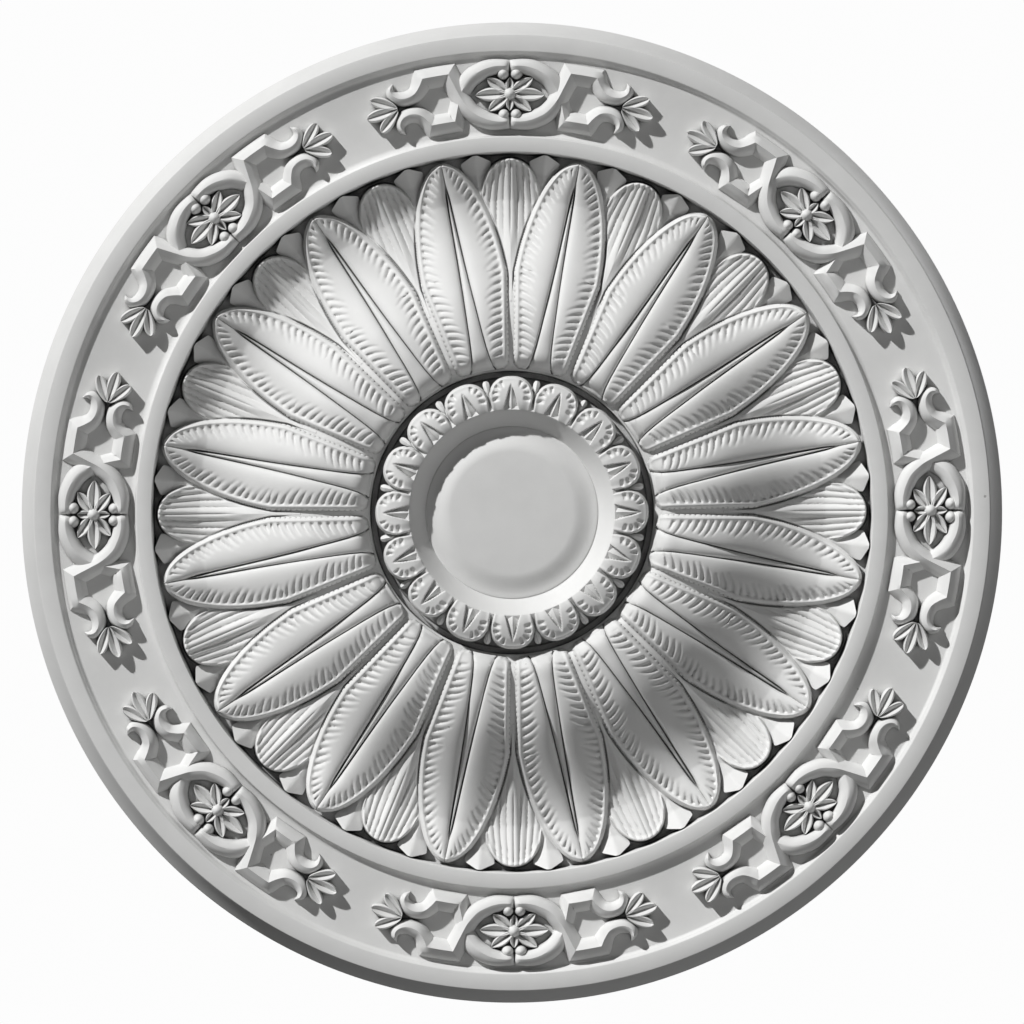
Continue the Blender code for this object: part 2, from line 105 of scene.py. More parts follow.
def make_piece(name, sheets, material, crease=CREASE):
    points = []
    faces = []
    for sheet in sheets:
        flat = sheet.reshape(-1, 3)
        own = sheet_faces(*sheet.shape[:2])
        if faces_up(flat, own):
            own = own[:, ::-1]
        faces.append(own + sum(len(part) for part in points))
        points.append(flat)
    mesh = bpy.data.meshes.new(name)
    mesh.from_pydata(np.concatenate(points).tolist(), [], np.concatenate(faces).tolist())
    mesh.validate()
    mesh.shade_smooth()
    mesh.set_sharp_from_angle(angle=crease)
    mesh.materials.append(material)
    piece = bpy.data.objects.new(name, mesh)
    bpy.context.scene.collection.objects.link(piece)
    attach(piece, "root")
    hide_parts("ceiling_rose")
    pieces.append(piece)
    return piece


# %% [markdown]
# The finish is matt off-white primer over the casting. Up close it isn't flat: there is a fine
# grain from the sprayed primer, a slow drift in tone and small pits where air bubbles met the mould.
# On top of these, the bottoms of narrow deep gaps are painted darker, a painted shade that stands in
# for the shadow there. Both materials below use these effects, so each is a node group, built once
# and placed in a material with its own values. First come three helpers that add a group or a node.

# %% Helpers for node groups
def new_group(name, inputs, outputs):
    group = bpy.data.node_groups.new(name, "ShaderNodeTree")
    for label, value in inputs.items():
        socket = group.interface.new_socket(label, in_out="INPUT", socket_type="NodeSocketFloat")
        socket.default_value = value
    for label in outputs:
        group.interface.new_socket(label, in_out="OUTPUT", socket_type="NodeSocketFloat")
    return group, group.nodes.new("NodeGroupInput"), group.nodes.new("NodeGroupOutput")


def math_node(tree, operation, first, second):
    node = tree.nodes.new("ShaderNodeMath")
    node.operation = operation
    for socket, value in zip(node.inputs, (first, second)):
        if isinstance(value, bpy.types.NodeSocket):
            tree.links.new(value, socket)
        else:
            socket.default_value = value
    return node.outputs[0]


def noise_node(tree, scale, detail):
    coordinates = tree.nodes.new("ShaderNodeTexCoord")
    node = tree.nodes.new("ShaderNodeTexNoise")
    tree.links.new(coordinates.outputs["Object"], node.inputs["Vector"])
    tree.links.new(scale, node.inputs["Scale"])
    node.inputs["Detail"].default_value = detail
    return node.outputs["Fac"]


# %% [markdown]
# The grain group gives two values. The tone, for the colour, is a slow drift with soft mottling on
# top. The height, for the bump, is the mottling with the fine grain of the spray.

# %% Grain of the primer
MOTTLE_SHARE = 0.5
FINE_SHARE = 0.35


def primer_grain():
    """A sprayed primer's tone and height: a slow drift, soft mottling and a fine grain."""
    inputs = {"Grain Scale": 1400.0, "Mottle Scale": 60.0, "Drift Scale": 6.0}
    group, given, result = new_group("primer_grain", inputs, ("Tone", "Height"))
    fine = noise_node(group, given.outputs["Grain Scale"], 2.0)
    mottle = noise_node(group, given.outputs["Mottle Scale"], 4.0)
    drift = noise_node(group, given.outputs["Drift Scale"], 2.0)
    tone = math_node(group, "MULTIPLY_ADD", mottle, MOTTLE_SHARE)
    group.links.new(drift, tone.node.inputs[2])
    height = math_node(group, "MULTIPLY_ADD", fine, FINE_SHARE)
    group.links.new(mottle, height.node.inputs[2])
    group.links.new(tone, result.inputs["Tone"])
    group.links.new(height, result.inputs["Height"])
    return group


grain_group = primer_grain()
print("node group:", grain_group.name, "with", len(grain_group.nodes), "nodes")

# %% [markdown]
# A pit sits in the middle of some of the cells that a Voronoi texture scatters. Each cell has a
# random colour. One channel of it picks the cells that get a pit, and another sets the pit's size.

# %% Pits
PIT_EDGE_SHARPNESS = 25.0


def casting_pits():
    """Scattered round pits: a mask that is 1 inside a pit, and a height that dips there."""
    inputs = {"Scale": 120.0, "Pit Size": 0.10, "Share": 0.06}
    group, given, result = new_group("casting_pits", inputs, ("Mask", "Height"))
    coordinates = group.nodes.new("ShaderNodeTexCoord")
    cells = group.nodes.new("ShaderNodeTexVoronoi")
    group.links.new(coordinates.outputs["Object"], cells.inputs["Vector"])
    group.links.new(given.outputs["Scale"], cells.inputs["Scale"])
    picked = group.nodes.new("ShaderNodeSeparateColor")
    group.links.new(cells.outputs["Color"], picked.inputs["Color"])
    chosen = math_node(group, "LESS_THAN", picked.outputs[0], given.outputs["Share"])
    size = math_node(group, "MULTIPLY", picked.outputs[1], given.outputs["Pit Size"])
    inside = math_node(group, "SUBTRACT", size, cells.outputs["Distance"])
    edge = math_node(group, "MULTIPLY", inside, PIT_EDGE_SHARPNESS)
    edge.node.use_clamp = True
    mask = math_node(group, "MULTIPLY", edge, chosen)
    group.links.new(mask, result.inputs["Mask"])
    group.links.new(math_node(group, "MULTIPLY", mask, -1.0), result.inputs["Height"])
    return group


pits_group = casting_pits()
print("node group:", pits_group.name, "with", len(pits_group.nodes), "nodes")

# %% [markdown]
# Ambient occlusion tells how open a place is to the space round it, from 0 in a closed corner to 1
# on a flat face. The mask rises only where little is open, so it stays off the shallow carving. It
# drives painted shade: the colour darkens in deep gaps, standing in for the shadow there.

# %% Painted shade in narrow gaps
GAP_REACH = 0.016
GAP_OPENNESS = 0.44
GAP_CONTRAST = 4.0
GAP_SAMPLES = 6


def painted_gap_shade():
    """A mask of painted shade: it rises to 1 in narrow deep gaps, where shade falls."""
    group, given, result = new_group("painted_gap_shade", {"Strength": 1.0}, ("Mask",))
    sky = group.nodes.new("ShaderNodeAmbientOcclusion")
    sky.samples = GAP_SAMPLES
    sky.inputs["Distance"].default_value = GAP_REACH
    closed = math_node(group, "SUBTRACT", GAP_OPENNESS, sky.outputs["AO"])
    deep = math_node(group, "MULTIPLY", closed, GAP_CONTRAST)
    deep.node.use_clamp = True
    mask = math_node(group, "MULTIPLY", deep, given.outputs["Strength"])
    group.links.new(mask, result.inputs["Mask"])
    return group


gap_shade_group = painted_gap_shade()
print("node group:", gap_shade_group.name, "with", len(gap_shade_group.nodes), "nodes")

# %% [markdown]
# A material places the three groups with its own values. The colour runs from dark to light by the
# grain's tone, and is then mixed towards the pits' colour by their mask, and towards a dark painted
# shade colour by the gaps' mask. The two heights add up to the bump.

# %% A material from the groups
SPECULAR_LEVEL = 0.35


def place_group(tree, group, values):
    node = tree.nodes.new("ShaderNodeGroup")
    node.node_tree = group
    for label, value in values.items():
        node.inputs[label].default_value = value
    return node


def mixed(tree, factor, low, high):
    """Mixes two colours by a factor. The first may be a colour or another node's output."""
    node = tree.nodes.new("ShaderNodeMix")
    node.data_type = "RGBA"
    tree.links.new(factor, node.inputs["Factor"])
    if isinstance(low, bpy.types.NodeSocket):
        tree.links.new(low, node.inputs["A"])
    else:
        node.inputs["A"].default_value = (*low, 1.0)
    node.inputs["B"].default_value = (*high, 1.0)
    return node.outputs["Result"]


def casting_material(name, dark, light, pit_colour, gap_shade_colour, roughness, grain, pits, bump):
    material = bpy.data.materials.new(name)
    material.use_nodes = True
    tree = material.node_tree
    shader = tree.nodes["Principled BSDF"]
    shader.inputs["Roughness"].default_value = roughness
    shader.inputs["Specular IOR Level"].default_value = SPECULAR_LEVEL

    surface = place_group(tree, grain_group, grain)
    holes = place_group(tree, pits_group, pits)
    gaps = place_group(tree, gap_shade_group, {})
    toned = mixed(tree, surface.outputs["Tone"], dark, light)
    pitted = mixed(tree, holes.outputs["Mask"], toned, pit_colour)
    # Painted shade: the colour goes dark where the gaps' mask rises, standing in for shadow in the gaps.
    shaded = mixed(tree, gaps.outputs["Mask"], pitted, gap_shade_colour)
    tree.links.new(shaded, shader.inputs["Base Color"])

    height = math_node(tree, "ADD", surface.outputs["Height"], holes.outputs["Height"])
    relief = tree.nodes.new("ShaderNodeBump")
    relief.inputs["Strength"].default_value = 1.0
    relief.inputs["Distance"].default_value = bump
    tree.links.new(height, relief.inputs["Height"])
    tree.links.new(relief.outputs["Normal"], shader.inputs["Normal"])
    return material


# %% [markdown]
# There are two finishes. The face is smooth primer with few pits. The back is the rough side of
# the casting, chalkier and full of pits, because it beds in adhesive and nobody primes it with
# care.

# %% The two finishes
face_primer = casting_material(
    "face_primer",
    dark=(0.66, 0.66, 0.65),
    light=(0.80, 0.80, 0.79),
    pit_colour=(0.46, 0.46, 0.45),
    # Painted shade colour for the bottoms of narrow deep gaps.
    gap_shade_colour=(0.05, 0.05, 0.05),
    roughness=0.62,
    grain={"Grain Scale": 1400.0, "Mottle Scale": 60.0, "Drift Scale": 5.0},
    pits={"Scale": 110.0, "Pit Size": 0.13, "Share": 0.020},
    bump=0.00012,
)
raw_back = casting_material(
    "raw_back",
    dark=(0.64, 0.63, 0.60),
    light=(0.82, 0.81, 0.78),
    pit_colour=(0.50, 0.49, 0.46),
    # Painted shade colour for the bottoms of narrow deep gaps.
    gap_shade_colour=(0.20, 0.20, 0.18),
    roughness=0.85,
    grain={"Grain Scale": 700.0, "Mottle Scale": 25.0, "Drift Scale": 4.0},
    pits={"Scale": 130.0, "Pit Size": 0.26, "Share": 0.22},
    bump=0.0004,
)
print("materials:", face_primer.name, raw_back.name)

# %% [markdown]
# The leaves lie on a dome: it swells round the collar, sinks to a valley, and lifts again where
# the leaf tips meet the inner ring. One function gives the depth of the leaves' rims at any
# radius, and every leaf, the body under them and the tips use it.

# %% The dome under the leaves
LEAVES = 16
SECTOR = pi / LEAVES
ROOT_RADIUS = 105.0
CREST_RADIUS = 125.25
VALLEY_RADIUS = 222.75
RING_FOOT_RADIUS = 255.0
CREST_DEPTH = 43.0
VALLEY_DEPTH = 8.3
TIP_DEPTH = 20.1
WEB_DEPTH = 5.0
LEAF_THICKNESS = 3.3
ROOT_DROP = 7.0


def dome(radius):
    """Depth of the leaves' rims below the ceiling."""
    root = np.clip((CREST_RADIUS - radius) / (CREST_RADIUS - ROOT_RADIUS), 0, 1.04)
    fall = np.clip((radius - CREST_RADIUS) / (VALLEY_RADIUS - CREST_RADIUS), 0, 1)
    lift = np.clip((radius - VALLEY_RADIUS) / (RING_FOOT_RADIUS - VALLEY_RADIUS), 0, 1)
    swell = VALLEY_DEPTH + (CREST_DEPTH - VALLEY_DEPTH) * (1 + np.cos(pi * fall)) / 2
    return swell - ROOT_DROP * root**5 + (TIP_DEPTH - VALLEY_DEPTH) * lift**1.3


def step(low, high, value):
    """0 below low, 1 above high, and a smooth S between."""
    share = np.clip((value - low) / (high - low), 0, 1)
    return share * share * (3 - 2 * share)


print("rim depths:", [round(float(dome(r)), 1) for r in (110, 125, 175, 222, 250)])

# %% [markdown]
# The body is everything that a template dragged round the centre would leave. It is a profile of
# radius and depth, turned round the axis. Corners are eased by cutting each one back a little,
# which catches the light as a real arris does.

# %% Easing and turning a profile
TURN_STEPS = 304


def eased(profile):
    """Cuts each (radius, depth, ease) corner back by its ease, with three points on a soft curve."""
    out = [profile[0][:2]]
    for before, here, after in zip(profile, profile[1:], profile[2:]):
        corner = Vector(here[:2])
        back = Vector(before[:2]) - corner
        ahead = Vector(after[:2]) - corner
        if not here[2]:
            out.append(tuple(corner))
            continue
        start = corner + back.normalized() * min(here[2], back.length / 2)
        end = corner + ahead.normalized() * min(here[2], ahead.length / 2)
        for share in (0.0, 0.5, 1.0):
            bend = (1 - share) ** 2 * start + 2 * share * (1 - share) * corner + share**2 * end
            out.append(tuple(bend))
    out.append(profile[-1][:2])
    return out


def turned(profile):
    bearings = np.linspace(0, 2 * pi, TURN_STEPS + 1)[None, :]
    table = np.array(profile)
    return place(bearings, table[:, 0:1], table[:, 1:2])


# %% [markdown]
# The profile runs from the back's edge inwards. Each place on it is a radius, a depth and how far
# its corner is eased. The first stretches are the coved edge, the flat fillet, the frieze's ground
# and the inner ring, whose inner side drops to the ground in the gaps between the leaf tips.

# %% Profile of the edge, frieze and ring
RIM_RADIUS = 350.0
EDGE_HEIGHT = 2.0
COVE_WIDTH = 10.3
COVE_DROP = 18.8
COVE_SAG = 4.8
FRIEZE_DEPTH = 16.3
RING_DEPTH = 22.0
GROUND_DROP = 1.2
OPEN_DROP = 2.8
CENTRE_HOLE = 0.02

cove_shares = np.linspace(0.1, 0.9, 9)
cove = [
    (RIM_RADIUS - COVE_WIDTH * t, EDGE_HEIGHT + COVE_DROP * t - COVE_SAG * t * (1 - t), 0)
    for t in cove_shares
]
rim = [(RIM_RADIUS - 1.0, 0.0, 0), (RIM_RADIUS, 0.0, 0.3), (RIM_RADIUS, EDGE_HEIGHT, 0.4), *cove]
fillet = [(339.7, 20.7, 0.7), (328.0, 20.8, 0.6), (326.6, 19.0, 0.3), (326.0, 18.6, 0.3)]
frieze = [(324.4, FRIEZE_DEPTH, 0.9), (271.2, FRIEZE_DEPTH, 1.2)]
ring = [(268.3, 18.0, 1.0), (267.1, RING_DEPTH, 0.8), (256.4, RING_DEPTH, 0.7)]
ring += [(RING_FOOT_RADIUS, WEB_DEPTH, 0.5), (225.0, WEB_DEPTH - GROUND_DROP, 0)]
print("the frieze's ground is", round(frieze[0][0] - frieze[1][0], 1), "mm wide")

# %% [markdown]
# Further in, the ground runs just behind the leaves, and a little further behind where the
# under-leaves lie open. Then come the crevice, the collar's core, the cup's wall with a small
# groove at its foot, and the rolled edge of the cup's flat floor.

# %% Turned body
WALL_FOOT_RADIUS = 62.4
WALL_WIDTH = 10.2
WALL_FOOT_DEPTH = 29.9
WALL_HEIGHT = 12.2
WALL_BOW = 1.4
FLOOR_RADIUS = 43.0
ROLL_WIDTH = 16.2
ROLL_HEIGHT = 4.0
CUP_DEPTH = 33.5

under_radii = np.linspace(218, 106, 40)
under_drop = LEAF_THICKNESS + GROUND_DROP + OPEN_DROP * step(155, 175, under_radii)
under_depths = dome(under_radii) - under_drop
ground = [(float(radius), float(depth), 0) for radius, depth in zip(under_radii, under_depths)]
crevice = [(103.6, 31.0, 0.5), (100.6, 29.6, 0.4), (99.9, 20.0, 0.2), (96.6, 20.0, 0.2)]
core = [(95.4, 22.4, 0.5), (90.6, 26.6, 0.8), (87.0, 36.6, 0.6)]
core += [(84.0, 38.6, 0.8), (76.4, 40.4, 0.8), (72.9, 42.2, 0.5)]

wall_shares = np.linspace(0.95, 0.0, 9)
wall = [
    (WALL_FOOT_RADIUS + WALL_WIDTH * t, WALL_FOOT_DEPTH + WALL_HEIGHT * t + WALL_BOW * t * (t - 1), 0)
    for t in wall_shares
]
groove = [(61.8, 29.3, 0.3), (61.3, 28.8, 0.2), (60.7, 29.4, 0.3), (59.2, 29.5, 0)]
roll_shares = np.linspace(0.9, 0.0, 10)
roll = [
    (FLOOR_RADIUS + ROLL_WIDTH * t, CUP_DEPTH - ROLL_HEIGHT * (1 - cos(pi * t)) / 2, 0)
    for t in roll_shares
]
cup_floor = [*roll, (20.0, CUP_DEPTH, 0), (CENTRE_HOLE, CUP_DEPTH, 0)]

profile = rim + fillet + frieze + ring + ground + crevice + core + wall + groove + cup_floor
body = make_piece("turned_body", [turned(eased(profile))], face_primer, crease=CRISP)
print("turned body:", len(body.data.polygons), "faces from", len(profile), "stations")

# %% [markdown]
# The back lies on the ceiling, so it is only ever seen before the rose goes up. It is flat, with
# the rough finish of the open side of a mould.

# %% Flat back
BACK_RADII = (CENTRE_HOLE, 60.0, 120.0, 180.0, 240.0, 300.0, 340.0, 349.4)
back_sheet = turned([(radius, 0.0) for radius in BACK_RADII])
back = make_piece("flat_back", [back_sheet], raw_back)
back.data.flip_normals()
print("flat back:", len(back.data.polygons), "faces")

# %% [markdown]
# A big leaf is long, with an oval outer part on straight sides that narrow to a rounded root. A
# midrib runs down its middle and narrows to nothing near the tip.

# %% Outline of a big leaf
WIDEST_RADIUS = 175.5
LEAF_TIP_RADIUS = 253.6
LEAF_HALF_WIDTH = 31.2
LEAF_REACH = LEAF_TIP_RADIUS - WIDEST_RADIUS
LEAF_WALL = 2.6
LEAF_END_RADIUS = 101.8
MIDRIB_RADII = (101.0, 104.0, 110.0, 118.0, 129.0, 143.0, 161.0, 179.0, 196.0, 214.0, 229.0, 239.0)
MIDRIB_HALVES = (10.5, 8.2, 6.6, 5.6, 4.8, 4.1, 3.2, 2.5, 2.0, 1.5, 1.0, 0.05)
LEAF_SIDE_ANGLE = radians(10.45)
ROOT_CORNER = 5.0


def leaf_half_width(radius):
    oval = LEAF_HALF_WIDTH * np.sqrt(np.clip(1 - ((radius - WIDEST_RADIUS) / LEAF_REACH) ** 2, 0, 1))
    root = np.minimum(LEAF_SIDE_ANGLE * radius, LEAF_HALF_WIDTH)
    shape = np.where(radius > WIDEST_RADIUS, oval, root)
    corner = np.clip((LEAF_END_RADIUS + ROOT_CORNER - radius) / (ROOT_CORNER + 0.5), 0, 1)
    return shape - ROOT_CORNER * (1 - np.sqrt(1 - corner**2))


print("leaf width at the widest place:", 2 * LEAF_HALF_WIDTH, "mm")

# %% [markdown]
# Two measures drive a leaf's relief: how far a point is inside the outline, and how far along the
# outline it is. Both come from a finely drawn outline. The nearest of its points gives the first,
# and the length of the line up to that point gives the second.

# %% How far inside an outline, and how far along it
def line_ruler(line):
    """Arc length and direction at every point of a drawn line."""
    run = np.gradient(line, axis=0)
    ahead = run / np.linalg.norm(run, axis=1, keepdims=True)
    steps = np.linalg.norm(np.diff(line, axis=0), axis=1)
    return np.concatenate([[0.0], np.cumsum(steps)]), ahead


def inside_line(line, radius, across):
    """Distance in from a line drawn as (radius, across), and the distance along it."""
    lengths, ahead = line_ruler(line)
    inside = np.empty_like(radius)
    along = np.empty_like(radius)
    for row in range(len(radius)):
        places = np.stack([radius[row], np.abs(across[row])], axis=1)
        gap = places[:, None, :] - line[None, :, :]
        far = np.linalg.norm(gap, axis=2)
        near = far.argmin(axis=1)
        picked = gap[np.arange(len(near)), near]
        inside[row] = far.min(axis=1)
        along[row] = lengths[near] + (picked * ahead[near]).sum(axis=1)
    return inside, along


outline_radii = np.concatenate([
    np.linspace(LEAF_END_RADIUS - 1.0, WIDEST_RADIUS, 400)[:-1],
    WIDEST_RADIUS + LEAF_REACH * np.sin(np.linspace(0, pi / 2, 700)),
])
leaf_line = np.stack([outline_radii, leaf_half_width(outline_radii)], axis=1)
leaf_line_length = line_ruler(leaf_line)[0][-1]
print("one edge of a leaf is", round(float(leaf_line_length)), "mm long")

# %% [markdown]
# The cuts are a repeating groove whose phase runs along the outline and bends back as it goes
# inwards, so each cut is a comma with its outer end towards the leaf's tip. Each is a gouge cut:
# steep sided and flat at its deep outer end, and thinning out to nothing at the inner end. They
# were cut by hand, so each leaf's cuts fall a little differently and vary in length and depth.

# %% Feathered cuts
CUT_PITCH = 5.75
CUT_DEPTH = 2.0
CUT_MARGIN = 1.2
CUT_LEAN = 0.36
CUT_WANDER = 0.9
LENGTH_SPREAD = 0.16
DEPTH_SPREAD = 0.14


def hand_cut(along, across, hand):
    """One leaf's own cuts: how far along each one falls, how long it is and how deep."""
    slide = np.where(across < 0, hand[0], hand[1]) * CUT_PITCH / 2
    wander = CUT_WANDER * np.sin(along / 9.0 + 5.0 * hand[0])
    length = 1 + LENGTH_SPREAD * np.sin(along / 3.7 + 6.0 * hand[2])
    depth = 1 + DEPTH_SPREAD * np.sin(along / 5.3 + 6.0 * hand[3])
    return along + slide + wander, length, depth


def leaf_cuts(radius, across, inside, along, hand):
    """How deep the feathered cuts go at each place."""
    midrib = np.interp(radius, MIDRIB_RADII, MIDRIB_HALVES)
    cut_in = inside - LEAF_WALL - CUT_MARGIN
    place_along, cut_length, cut_depth = hand_cut(along, across, hand)
    phase = 2 * pi * (place_along + CUT_LEAN * cut_in + 0.03 * cut_in**2) / CUT_PITCH
    reach = cut_length * np.interp(leaf_line_length - along, (8, 25, 60), (6.5, 8.5, 10.8))
    taper = np.clip(cut_in / reach, 0, 1)
    window = step(0.0, 1.6, cut_in) * (1 - taper) ** 0.7
    window = window * step(109, 114, radius) * step(2.6, 4.4, np.abs(across))
    window = window * step(0.2, 1.6, np.abs(across) - midrib)
    gouge = step(0.34 + 0.30 * taper, 0.84 + 0.16 * taper, (1 + np.cos(phase)) / 2)
    return CUT_DEPTH * cut_depth * window * gouge


# %% [markdown]
# The rest of a leaf's relief is the swelling of its halves, the two sharp grooves beside the
# midrib, the midrib's gable, a thin lip, the sloping wall at the edge and the rounded root end.
# The outermost places sink further into the rose, so that the wall reaches past the leaf behind.

# %% Depth of a big leaf
LEAF_SWELL = 3.2
SWELL_AT_ROOT = 0.40
SWELL_RADII = (128, 160)
RIB_END_RADII = (226, 240)
GROOVE_DEPTH = 2.2
GROOVE_WIDTH = 0.5
GABLE_HEIGHT = 1.3
LIP_HEIGHT = 0.35
LIP_WIDTH = 0.8
WALL_OVERLAP = 0.8
WALL_SKIRT = 2.4
END_ROUNDING = 1.4
END_WIDTH = 2.2
END_SKIRT = 4.5
AT_EDGE = 0.02
AT_END = 0.05


def leaf_depth(radius, across, inside, along, hand):
    midrib = np.interp(radius, MIDRIB_RADII, MIDRIB_HALVES)
    half = leaf_half_width(radius)
    room = np.maximum(half - LEAF_WALL - 2.0 - midrib, 1.0)
    share = np.clip((np.abs(across) - midrib) / room, 0, 1)
    swell = LEAF_SWELL * np.clip(half / 22, 0, 1) * np.sin(pi * share**0.62) ** 0.9
    swell = swell * (SWELL_AT_ROOT + (1 - SWELL_AT_ROOT) * step(*SWELL_RADII, radius))

    fade = 1 - step(*RIB_END_RADII, radius)
    groove = GROOVE_DEPTH * fade * np.exp(-(((np.abs(across) - midrib) / GROOVE_WIDTH) ** 2))
    gable = GABLE_HEIGHT * fade * np.clip(1 - np.abs(across) / np.maximum(midrib, 0.1), 0, 1)
    lip = LIP_HEIGHT * np.exp(-(((inside - LEAF_WALL) / LIP_WIDTH) ** 2))
    wall = (LEAF_THICKNESS + WALL_OVERLAP) * (1 - np.clip(inside / LEAF_WALL, 0, 1) ** 0.85)
    wall = wall + WALL_SKIRT * (inside < AT_EDGE)
    end = END_ROUNDING * (1 - step(0, END_WIDTH, radius - LEAF_END_RADIUS))
    end = end + END_SKIRT * (radius < LEAF_END_RADIUS + AT_END)
    cuts = leaf_cuts(radius, across, inside, along, hand)
    return dome(radius) + swell - cuts - groove + gable + lip - wall - end


# %% [markdown]
# A leaf's rows run across it, from the root to the tip, and crowd together at the tip. Its columns
# crowd together where the relief is finest. The sixteen leaves differ only in their hand-cut
# feathering, which four random numbers set for each leaf. The seed makes them the same each run.

# %% Sixteen big leaves
HAND_SEED = 11
ROOT_ROWS = 104
TIP_ROWS = 128
MIDDLE_COLUMNS = 17


def leaf_columns(half, midrib):
    """Places across one half of a leaf, closer together at the midrib's groove and at the edge."""
    edge = np.array([6.0, 4.9, 4.1, 3.5, 3.2, 2.4, 1.2, 0.0])
    edge = edge * min(1.0, 0.55 * half / edge[0])
    rib = np.array([0.0, 0.5, 0.85, 1.0])
    first = min(midrib, 0.4 * half)
    inner = first + 1.2 * min(1.0, half / 12)
    middle = np.linspace(inner, half - edge[0], MIDDLE_COLUMNS)[:-1]
    return np.concatenate([rib * first, [first + (inner - first) / 2], middle, half - edge])


root_rows = np.linspace(LEAF_END_RADIUS + 0.2, WIDEST_RADIUS, ROOT_ROWS)
tip_rows = WIDEST_RADIUS + LEAF_REACH * np.sin(np.linspace(0, pi / 2, TIP_ROWS)[1:])
leaf_rows = np.concatenate([[LEAF_END_RADIUS], root_rows, tip_rows])
half_widths = np.maximum(leaf_half_width(leaf_rows), 0.02)
rib_widths = np.interp(leaf_rows, MIDRIB_RADII, MIDRIB_HALVES)
right_half = np.array([leaf_columns(h, m) for h, m in zip(half_widths, rib_widths)])
across = np.concatenate([-right_half[:, :0:-1], right_half], axis=1)
rows = np.repeat(leaf_rows[:, None], across.shape[1], axis=1)
inside, along = inside_line(leaf_line, rows, across)
random = np.random.default_rng(HAND_SEED)
for k in range(LEAVES):
    axis = (2 * k + 1) * SECTOR
    depths = leaf_depth(rows, across, inside, along, random.uniform(-1, 1, 4))
    leaf_sheet = place(axis + across / rows, rows, depths)
    make_piece(f"big_leaf_{k + 1:02d}", [leaf_sheet], face_primer, crease=SOFT)
print("a big leaf:", across.shape, "places, deepest", round(float(depths.max()), 1))

# %% [markdown]
# Between every two big leaves another leaf lies behind them. It shows as a narrow fluted wedge
# that opens into a round tip. Its sides tuck under the big leaves, so no gap shows, and past the
# valley its own edge drops to the ground.

# %% Outline of an under-leaf
UNDER_CENTRE_RADIUS = 222.5
UNDER_TIP_RADIUS = 254.0
UNDER_HALF_WIDTH = 21.8
UNDER_ROUNDNESS = 2.3
UNDER_REACH = UNDER_TIP_RADIUS - UNDER_CENTRE_RADIUS
TUCK = 2.5


def under_half_width(radius):
    share = np.clip((radius - UNDER_CENTRE_RADIUS) / UNDER_REACH, 0, 1)
    oval = UNDER_HALF_WIDTH * (1 - share**UNDER_ROUNDNESS) ** (1 / UNDER_ROUNDNESS)
    gap = SECTOR * radius - leaf_half_width(radius) + TUCK
    return np.minimum(gap, oval)


print("under-leaf width at its round tip:", 2 * UNDER_HALF_WIDTH, "mm")

# %% [markdown]
# Its relief is a ridge down the middle, flutes that draw together a little at the tip, a slight
# belly across it and a slight hollow along it, a folded rim round the tip and a wall outside that.
# The parts that tuck under the big leaves sink a little.

# %% Depth of an under-leaf
RIM_SCALE = 24
RIDGE_HEIGHT = 3.4
RIDGE_HALF_WIDTH = 7.0
RIDGE_RADII = (165, 195)
FLUTE_PITCH = 4.9
FLUTE_DEPTH = 1.9
FLUTE_RADII = (186, 212)
BELLY_HEIGHT = 1.2
BELLY_RADII = (200, 228)
FOLD_HEIGHT = 1.7
FOLD_RADII = (218, 226)
EDGE_RADII = (224, 228)
TUCK_DEPTH = 2.6
TUCK_RADII = (224, 230)
HOLLOW_DEPTH = 1.1
HOLLOW_START = 200
HOLLOW_LENGTH = 54


def under_depth(radius, across, half):
    up = np.clip((radius - UNDER_CENTRE_RADIUS) / UNDER_REACH, 0, 1)
    side = np.abs(across)
    oval = (up**UNDER_ROUNDNESS + (side / UNDER_HALF_WIDTH) ** UNDER_ROUNDNESS) ** (1 / UNDER_ROUNDNESS)
    inside = np.clip((1 - oval) * RIM_SCALE, 0, 30)
    ridge = RIDGE_HEIGHT * np.clip(1 - side / RIDGE_HALF_WIDTH, 0, 1)
    ridge = ridge * step(*RIDGE_RADII, radius) * (1 - 0.5 * up)
    wave = np.abs(np.sin(pi * side / (FLUTE_PITCH * (1 - 0.22 * up))))
    ribs = FLUTE_DEPTH * wave**0.6 * step(*FLUTE_RADII, radius) * step(0.6, 3.5, inside)
    belly = BELLY_HEIGHT * np.clip(1 - (side / UNDER_HALF_WIDTH) ** 2, 0, 1)
    belly = belly * step(*BELLY_RADII, radius)
    fold = FOLD_HEIGHT * np.exp(-(((inside - 2.4) / 1.1) ** 2)) * step(*FOLD_RADII, radius)
    wall = np.clip(1 - inside / 1.7, 0, 1) * step(*EDGE_RADII, radius)
    tuck = TUCK_DEPTH * step(-1.5, 0.0, side - half + TUCK) * (1 - step(*TUCK_RADII, radius))
    hollow = HOLLOW_DEPTH * np.sin(pi * np.clip((radius - HOLLOW_START) / HOLLOW_LENGTH, 0, 1))
    level = dome(radius) - LEAF_THICKNESS - 0.9 + ridge + ribs + belly + fold - tuck - hollow
    level = np.maximum(level, np.minimum(WEB_DEPTH + 0.6, dome(radius) - LEAF_THICKNESS - 1.0))
    return level - wall * (level - WEB_DEPTH)


# %% [markdown]
# The under-leaf starts well inside the place where it comes out, hidden by the big leaves. Its
# columns crowd together towards the two edges.

# %% Sixteen under-leaves
UNDER_START_RADIUS = 150.0
UNDER_ROWS = 46
UNDER_COLUMNS = 61

